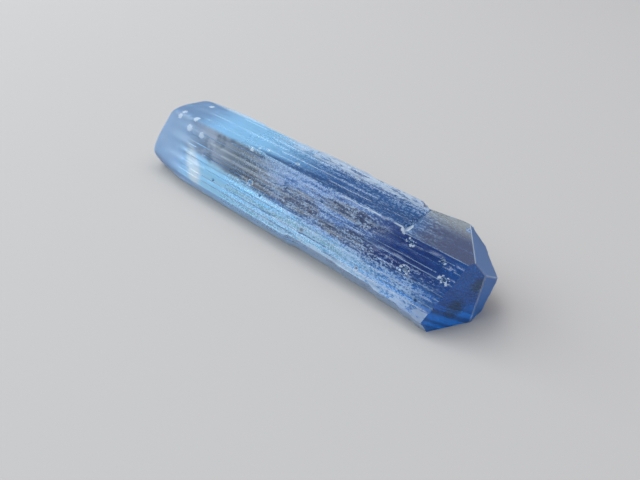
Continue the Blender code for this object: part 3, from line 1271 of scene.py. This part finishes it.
    # How far painted shade covers the lower back face.
    back_low_cover: float = 0.5
    strip_cover: float = 0.8
    milk_at: Pair = (-6.5, -10.5)
    milk_level_at: Pair = (0.1, 0.5)
    dome_height_at: Pair = (3.7, 4.3)
    cream_lean: float = -0.72
    cream_patch: tuple[Triple, Triple] = ((-10.1, 3.0, 0.0), (1.0, 1.6, 1.0))

    flake_foot_at: Pair = (9.6, 8.3)
    flake_back_side_at: Pair = (0.2, 1.6)
    slant_low_height_at: Pair = (1.9, 0.7)
    # Where the painted green reflections lie on the slanting end face.
    green_reflection_patches: tuple[tuple[Triple, float], ...] = (
        ((12.9, -0.3, 2.6), 0.75),
        ((12.3, -1.35, 1.3), 0.85),
    )
    green_reflection_cover: float = 0.75

    etch_streaks: Quad = (1.3, 0.16, 5.0, 4.0)
    etch_share: float = 0.45
    grain_streaks: Quad = (0.15, 0.085, 9.0, 2.0)
    grain_share: float = 0.55
    etched_at: Pair = (-6.0, 0.5)
    etched_flake_at: Pair = (11.5, 8.5)
    etched_flake_cover: float = 0.6
    etch_cover: float = 0.75
    clean_tip_at: Pair = (5.5, 8.5)
    clean_tip_down_at: Pair = (2.2, 1.6)
    clean_top_side_at: Pair = (1.4, -0.2)
    clean_top_cover: float = 0.7
    clean_slant_side_cover: float = 0.85
    low_zone_down_at: Pair = (2.3, 2.8)
    low_zone_raise: float = 0.035
    low_zone_cover: float = 0.5
    bloom_level_at: Pair = (0.51, 0.565)
    dark_level_at: Pair = (0.45, 0.40)

    # Painted glints: solid bright sparks, and bright specks in and around the pits.
    sparks: tuple[tuple[Triple, Triple], ...] = (
        ((8.28, -1.12, 4.24), (0.20, 0.14, 0.16)),
        ((8.42, -0.72, 4.23), (0.13, 0.50, 0.10)),
        ((2.20, -2.42, 1.66), (0.22, 0.22, 0.22)),
    )
    spark_level_at: Pair = (0.15, 0.40)
    cluster_radius: float = 0.135
    cluster_reach: Triple = (2.1, 1.4, 1.6)
    cluster_level_at: Pair = (0.0, 0.45)
    cluster_streaks: Quad = (0.19, 0.13, 13.0, 1.0)
    cluster_speck_level_at: Pair = (0.51, 0.55)
    small_pit_reach: Triple = (1.5, 1.2, 1.3)
    small_pit_level_at: Pair = (0.1, 0.3)

    # Painted highlights: thin bright lines along edges and ridges, bright spots, and painted light on the
    # foot of the lower front face.
    line_cover: float = 0.9
    broken_streaks: Quad = (0.9, 0.3, 7.0, 3.0)
    broken_level_at: Pair = (0.40, 0.55)
    spot_streaks: Quad = (0.12, 0.09, 11.0, 2.0)
    spot_level_at: Pair = (1.20, 1.45)
    facet_line_off_at: Pair = (0.07, 0.02)
    facet_line_at: Pair = (8.0, 8.6)
    facet_line_cover: float = 0.6
    upper_height_at: Pair = (4.0, 4.2)
    ridge_y: float = -1.08
    ridge_off_at: Pair = (0.035, 0.01)
    ridge_at: Pair = (3.0, 4.6)
    ridge_ends_at: Pair = (8.6, 8.2)
    back_side_at: Pair = (0.95, 1.55)
    back_at: Pair = (-4.5, -1.0)
    back_ends_at: Pair = (12.0, 9.4)
    back_level_at: Pair = (-0.4, 0.8)
    back_cover: float = 0.8
    back_line_side_at: Pair = (1.75, 2.0)
    back_line_ends_at: Pair = (9.0, 8.0)
    back_line_cover: float = 0.7
    # Painted light on the foot of the downward lower front face.
    foot_height_at: Pair = (0.75, 0.2)
    foot_cover: float = 0.9
    low_ridge_down_at: Pair = (3.40, 3.75)
    low_ridge_at: Pair = (0.0, 4.0)
    low_ridge_level_at: Pair = (-0.3, 0.9)
    low_ridge_cover: float = 0.6

    def material(self, planes: list[Plane], pits: list[tuple[Vector, float]]) -> Material:
        """Make the material.

        Args:
            planes: Planes of the flat facets, whose edges get painted highlights.
            pits: Middles and radii of the pits that glint, in millimetres.

        Returns:
            The material.
        """
        material = bpy.data.materials.new(self.name)
        material.use_nodes = True
        tree = material.node_tree
        shader = tree.nodes["Principled BSDF"]
        shader.inputs["Metallic"].default_value = 0.0
        shader.inputs["IOR"].default_value = self.refraction
        shader.inputs["Transmission Weight"].default_value = self.clearness
        at = Surface(tree)
        absorb = at.node("ShaderNodeVolumeAbsorption", {"Color": self.depth_colour, "Density": self.density})
        tree.links.new(absorb.outputs["Volume"], tree.nodes["Material Output"].inputs["Volume"])
        beside = self.beside_slant(at, planes)
        light, dark = self.etching(at, beside)
        bright = self.painted_highlights(at, planes).larger(self.glints(at, pits))
        colour = self.facets(at, self.long_faces(at, beside))
        # Lay the dark and light etch marks, then the painted highlights and glints.
        for mask, over in ((dark * self.etch_cover, self.dark), (light * self.etch_cover, self.bloom),
                           (bright * self.line_cover, self.edge)):
            colour = at.blend(mask, colour, over)
        tree.links.new(colour.socket, shader.inputs["Base Color"])
        tree.links.new(self.roughness(at, light, bright).socket, shader.inputs["Roughness"])
        return material

    def roughness(self, at: Surface, light: Value, bright: Value) -> Value:
        """Work out the roughness, which is lowest on the flake and the slanting end face.

        Args:
            at: The surface.
            light: Mask of the light etching.
            bright: Mask of the painted highlights and glints.

        Returns:
            The roughness.
        """
        rough = light * self.etched_rough + self.polish
        rough += at.mark(Facet.LONG) * self.long_rough
        for facet in (Facet.BEVEL, Facet.BASAL):
            rough += at.mark(facet) * self.end_rough
        rough += at.x.ramp(*self.worn_at) * self.worn_rough
        return rough + bright * self.bright_rough

    def beside_slant(self, at: Surface, planes: list[Plane]) -> Value:
        """How close a point of the broad front face lies to the slanting end face, from 0 to 1."""
        slant = next(plane for plane in planes if plane.facet is Facet.SLANT)
        return at.outside(slant).ramp(*self.slant_side_off_at) * at.mark(Facet.FRONT_HIGH)

    def front(self, at: Surface, cloud: Value) -> tuple[Value, Value, Value]:
        """Work out the looks of the broad front face: painted shade above, where dark ground would show
        through the crystal, and painted light below, where light reflected inside the crystal shows.

        Args:
            at: The surface.
            cloud: Cloudy noise.

        Returns:
            The upper colour, the lower colour, and how far the lower one covers.
        """
        slope, start, waver = self.low_edge
        past_edge = at.down - (at.x * slope + (cloud * waver + start))
        at_tip = at.x.ramp(*self.low_edge_tip_at)
        below = ((1.0 - at_tip) * past_edge.ramp(*self.low_edge_crisp_off_at)
                 + at_tip * past_edge.ramp(*self.low_edge_soft_off_at))
        # Painted shade of the middle band: grey, deepening with the noise and towards the faceted end.
        dim = cloud.ramp(*self.band_shade_level_at).larger(at.x.ramp(*self.band_shade_at))
        upper = at.blend(dim, self.band_shade, self.deep_band_shade)
        upper = at.blend(at.x.ramp(*self.lilac_at), upper, self.lilac)
        # Painted shade: smoky windows of dark ground seen through the crystal.
        streaks = at.streak(*self.shade_streaks)
        mixed = streaks * self.shade_streak_share + cloud * self.shade_cloud_share
        for x, down, reach_x, reach_down in self.shade_patches:
            shade_patch = at.patch(at.plan, (x, down, 0.0), (reach_x, reach_down, 1.0))
            shade_window = (shade_patch * self.shade_patch_share + mixed).ramp(*self.shade_level_at)
            upper = at.blend(shade_window * self.shade_cover, upper, self.painted_shade)
        upper = at.blend(at.x.ramp(*self.tip_at), upper, self.tip)
        # Painted light of the lower band.
        lower = at.blend(at.x.ramp(*self.tip_low_at), self.low, self.tip_low)
        return upper, lower, below

    def long_faces(self, at: Surface, beside: Value) -> Value:
        """Work out the colour of the long faces.

        Args:
            at: The surface.
            beside: How close the point lies to the slanting end face.

        Returns:
            The colour.
        """
        cloud = at.streak(*self.cloud_streaks)
        front = at.mark(Facet.FRONT_HIGH)
        upper, lower, below = self.front(at, cloud)
        upper_cover = front * at.down.ramp(*self.front_down_at) * at.x.ramp(*self.front_at)
        hazy = at.patch(at.plan, *self.tip_haze_patch) * front * self.tip_haze_cover
        # Painted shade: navy strip on the top face along the ridge.
        ridge_shade = (at.mark(Facet.TOP) * (at.y - at.x * self.ridge_shade_turn).ramp(*self.ridge_shade_side_at)
                * at.x.ramp(*self.ridge_shade_at) * self.ridge_shade_cover)
        far = at.x.ramp(*self.milk_at) * cloud.ramp(*self.milk_level_at)
        milk = at.blend(at.z.ramp(*self.dome_height_at), self.milk, self.dome)
        slanting = at.vector(at.x + at.down * self.cream_lean, at.down)
        colour = at.blend(at.x.ramp(*self.top_at), self.body, self.top)
        for mask, over in (
            # Painted shade on the front face's middle band, then painted light on its lower band.
            (upper_cover, upper),
            (front * below, lower),
            (beside * self.slant_side_cover, self.slant_side),
            (hazy, self.tip_haze),
            # Painted shade along the ridge.
            (ridge_shade, self.ridge_shade),
            # Painted shade on the lower back face, darkening what shows through the front.
            (at.mark(Facet.BACK_LOW) * self.back_low_cover, self.painted_shade),
            # Painted light on the narrow lower front face.
            (at.mark(Facet.FRONT_LOW) * self.strip_cover, self.strip),
            (far, milk),
            (at.patch(slanting, *self.cream_patch), self.cream),
        ):
            colour = at.blend(mask, colour, over)
        return colour

    def facets(self, at: Surface, colour: Value) -> Value:
        """Lay the colours of the flat facets over the long faces' colour.

        Args:
            at: The surface.
            colour: The long faces' colour.

        Returns:
            The colour.
        """
        # Painted reflection: the flake's greys stand in for the sky it mirrors.
        flake = at.blend(at.x.ramp(*self.flake_foot_at), self.flake, self.flake_foot)
        flake = at.blend(at.y.ramp(*self.flake_back_side_at), flake, self.flake_back)
        slant = at.blend(at.z.ramp(*self.slant_low_height_at), self.slant, self.slant_low)
        # Painted reflection: greenish patches on the slanting end face.
        for centre, reach in self.green_reflection_patches:
            green_reflection = at.patch(at.position, centre, (reach, reach, reach))
            slant = at.blend(green_reflection * self.green_reflection_cover, slant, self.green_reflection)
        for facet, over in ((Facet.FLAKE, flake), (Facet.SLANT, slant), (Facet.BASAL, self.basal),
                            (Facet.BEVEL, self.bevel)):
            colour = at.blend(at.mark(facet), colour, over)
        return colour

    def etching(self, at: Surface, beside: Value) -> tuple[Value, Value]:
        """Work out the light bloom and the dark specks that etching leaves on the faceted half.

        Args:
            at: The surface.
            beside: How close the point lies to the slanting end face.

        Returns:
            The masks of the light and the dark marks.
        """
        mixed = (at.streak(*self.etch_streaks) * self.etch_share
                 + at.streak(*self.grain_streaks) * self.grain_share)
        clean_tip = (at.x.ramp(*self.clean_tip_at) * at.down.ramp(*self.clean_tip_down_at)
                     * at.mark(Facet.FRONT_HIGH))
        clean_top = at.mark(Facet.TOP) * at.y.ramp(*self.clean_top_side_at) * self.clean_top_cover
        flake = at.mark(Facet.FLAKE) * at.x.ramp(*self.etched_flake_at) * self.etched_flake_cover
        share = (at.mark(Facet.LONG) + flake) * at.x.ramp(*self.etched_at)
        share = share * (1.0 - clean_tip) * (1.0 - clean_top) * (1.0 - beside * self.clean_slant_side_cover)
        low = at.down.ramp(*self.low_zone_down_at)
        light = share * (mixed + low * self.low_zone_raise).ramp(*self.bloom_level_at)
        dark = share * mixed.ramp(*self.dark_level_at) * (1.0 - low * self.low_zone_cover)
        return light, dark

    def glints(self, at: Surface, pits: list[tuple[Vector, float]]) -> Value:
        """Work out the painted glints in and around pits: clusters of bright specks in wide ones, and solid
        sparks.

        Args:
            at: The surface.
            pits: Middles and radii of the pits, in millimetres.

        Returns:
            The mask of the specks.
        """
        specks = at.streak(*self.cluster_streaks).ramp(*self.cluster_speck_level_at)
        glints = []
        for middle, radius in pits:
            wide = radius > self.cluster_radius
            shares = self.cluster_reach if wide else self.small_pit_reach
            near = at.patch(at.position, tuple(middle), tuple(radius * share for share in shares))
            glints.append(near.ramp(*self.cluster_level_at) * specks if wide
                          else near.ramp(*self.small_pit_level_at))
        for centre, reach in self.sparks:
            glints.append(at.patch(at.position, centre, reach).ramp(*self.spark_level_at))
        return reduce(Value.larger, glints)

    def painted_highlights(self, at: Surface, planes: list[Plane]) -> Value:
        """Work out the painted highlights: thin bright lines along edges and ridges, the bright spots, and
        painted light on the foot of the lower front face.

        Args:
            at: The surface.
            planes: Planes of the flat facets.

        Returns:
            The mask of the lines and spots.
        """
        broken = at.streak(*self.broken_streaks).ramp(*self.broken_level_at)
        specks = at.streak(*self.spot_streaks)
        masks = [(at.mark(Facet.SPOT) + specks).ramp(*self.spot_level_at)]
        # Painted highlights along the edges of the flat facets.
        for plane in planes:
            if plane.facet is not Facet.SLANT:
                flake = plane.facet is Facet.FLAKE
                beyond = at.mark(Facet.FRONT_HIGH) if flake else 1.0 - at.mark(plane.facet)
                close = abs(at.outside(plane)).ramp(*self.facet_line_off_at)
                masks.append(beyond * close * at.x.ramp(*self.facet_line_at) * self.facet_line_cover)
        upper = at.z.ramp(*self.upper_height_at)
        # Painted highlights along the upper ridge, the top face's back edge and the lower ridge.
        ridge = (abs(at.y - self.ridge_y).ramp(*self.ridge_off_at) * at.x.ramp(*self.ridge_at)
                 * at.x.ramp(*self.ridge_ends_at) * upper * broken)
        back = (at.mark(Facet.TOP) * at.y.ramp(*self.back_side_at) * at.x.ramp(*self.back_at)
                * at.x.ramp(*self.back_ends_at) * broken.ramp(*self.back_level_at) * self.back_cover)
        back_line = (at.y.ramp(*self.back_line_side_at) * at.x.ramp(*self.back_line_ends_at) * upper
                     * self.back_line_cover)
        # Painted light on the foot of the downward lower front face, which lies in shade.
        foot = at.mark(Facet.FRONT_LOW) * at.z.ramp(*self.foot_height_at) * self.foot_cover
        low_ridge = (at.mark(Facet.LONG) * at.down.ramp(*self.low_ridge_down_at)
                     * at.x.ramp(*self.low_ridge_at) * broken.ramp(*self.low_ridge_level_at)
                     * self.low_ridge_cover)
        return reduce(Value.larger, masks + [ridge, back, back_line, foot, low_ridge])


@dataclass(frozen=True)
class FloorFinish:
    """Pale matt studio floor."""

    colour: Colour = (0.405, 0.36, 0.33, 1.0)
    roughness: float = 0.85

    def material(self) -> Material:
        """Make the material.

        Returns:
            The material.
        """
        material = bpy.data.materials.new("studio_floor")
        material.use_nodes = True
        shader = material.node_tree.nodes["Principled BSDF"]
        shader.inputs["Base Color"].default_value = self.colour
        shader.inputs["Roughness"].default_value = self.roughness
        return material


@dataclass(frozen=True)
class SoftLight:
    """A rectangular soft light that faces the crystal.

    Args:
        name: What the light is called.
        azimuth: Direction it stands in, in degrees; 0 is on the -Y side and 90 on the +X side.
        elevation: Its height above the horizon, in degrees.
        distance: Distance from the crystal.
        size: Width and height.
        watts: Power.
        colour: Colour of its light.
    """

    name: str
    azimuth: float
    elevation: float
    distance: float
    size: Pair
    watts: float
    colour: Triple = (1.0, 1.0, 1.0)

    def place(self, target: Vector) -> None:
        """Put the light in the scene, aimed at a point.

        Args:
            target: The point.
        """
        data = bpy.data.lights.new(self.name, "AREA")
        data.shape = "RECTANGLE"
        data.size, data.size_y = self.size
        data.energy = self.watts
        data.color = self.colour
        lamp = bpy.data.objects.new(self.name, data)
        bpy.context.scene.collection.objects.link(lamp)
        back = towards(self.azimuth, self.elevation)
        lamp.location = target + back * self.distance
        lamp.rotation_euler = (-back).to_track_quat("-Z", "Y").to_euler()


def towards(azimuth: float, elevation: float) -> Vector:
    """Unit vector from the crystal to something at this azimuth and elevation, in degrees."""
    turn, rise = math.radians(azimuth), math.radians(elevation)
    return Vector((math.sin(turn) * math.cos(rise), -math.cos(turn) * math.cos(rise), math.sin(rise)))


@dataclass
class Studio:
    """Pale floor, soft lights and the camera."""

    floor_size: float = 2.0
    world_colour: Colour = (0.66, 0.80, 1.0, 1.0)
    world_strength: float = 0.45
    aim: Triple = mm(4.11, -2.98, 2.24)
    light_aim: Triple = mm(0.0, 0.0, 2.0)
    azimuth: float = 37.5
    elevation: float = 35.83
    roll: float = 5.755
    distance: float = 32.85 * MM
    lens: float = 32.03
    sensor: float = 36.0
    clip: Pair = (1.0 * MM, 10.0)
    bounces: int = 20
    lights: tuple[SoftLight, ...] = (
        SoftLight("window_behind", 205.0, 68.0, 0.35, (0.50, 0.22), 0.7),
        SoftLight("key_left", -60.0, 48.0, 0.35, (0.40, 0.40), 2.1, (0.80, 0.92, 1.0)),
    )

    def build(self) -> None:
        """Set up the floor, the light and the camera."""
        self.lay_floor()
        self.light()
        self.set_camera()

    def lay_floor(self) -> None:
        """Lay the floor under the crystal."""
        bm = bmesh.new()
        bmesh.ops.create_grid(bm, x_segments=1, y_segments=1, size=self.floor_size / 2)
        floor = object_from("studio_floor", bm, bpy.context.scene.collection)
        floor.data.materials.append(FloorFinish().material())

    def light(self) -> None:
        """Place the soft lights and the even light around them."""
        for lamp in self.lights:
            lamp.place(Vector(self.light_aim))
        world = bpy.data.worlds.new("studio")
        world.use_nodes = True
        background = world.node_tree.nodes["Background"]
        background.inputs["Color"].default_value = self.world_colour
        background.inputs["Strength"].default_value = self.world_strength
        scene = bpy.context.scene
        scene.world = world
        scene.view_settings.view_transform = "Standard"
        for limit in ("max_bounces", "transmission_bounces", "glossy_bounces"):
            setattr(scene.cycles, limit, self.bounces)

    def set_camera(self) -> None:
        """Stand the camera on its direction from the point it looks at, with its roll."""
        data = bpy.data.cameras.new("camera")
        data.sensor_width = self.sensor
        data.lens = self.lens
        data.clip_start, data.clip_end = self.clip
        camera = bpy.data.objects.new("camera", data)
        bpy.context.scene.collection.objects.link(camera)
        back = towards(self.azimuth, self.elevation)
        level = (-back).to_track_quat("-Z", "Y").to_matrix()
        camera.matrix_world = (Matrix.Translation(Vector(self.aim) + back * self.distance)
                               @ (level @ Matrix.Rotation(math.radians(self.roll), 3, "Z")).to_4x4())
        bpy.context.scene.camera = camera


def main() -> None:
    """Build the crystal and the studio round it."""
    logging.basicConfig(level=logging.INFO, format="%(name)s: %(message)s")
    aquamarine = Crystal()
    crystal = aquamarine.build()
    crystal.data.materials.clear()
    finish = AquamarineFinish().material(aquamarine.planes(), aquamarine.glinting_pits())
    crystal.data.materials.append(finish)
    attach(crystal, "root")
    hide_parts("aquamarine_crystal")
    LOG.info("%s: %d faces", crystal.name, len(crystal.data.polygons))
    studio = Studio()
    studio.build()
    LOG.info("studio: %d lights", len(studio.lights))


if __name__ == "__main__":
    main()
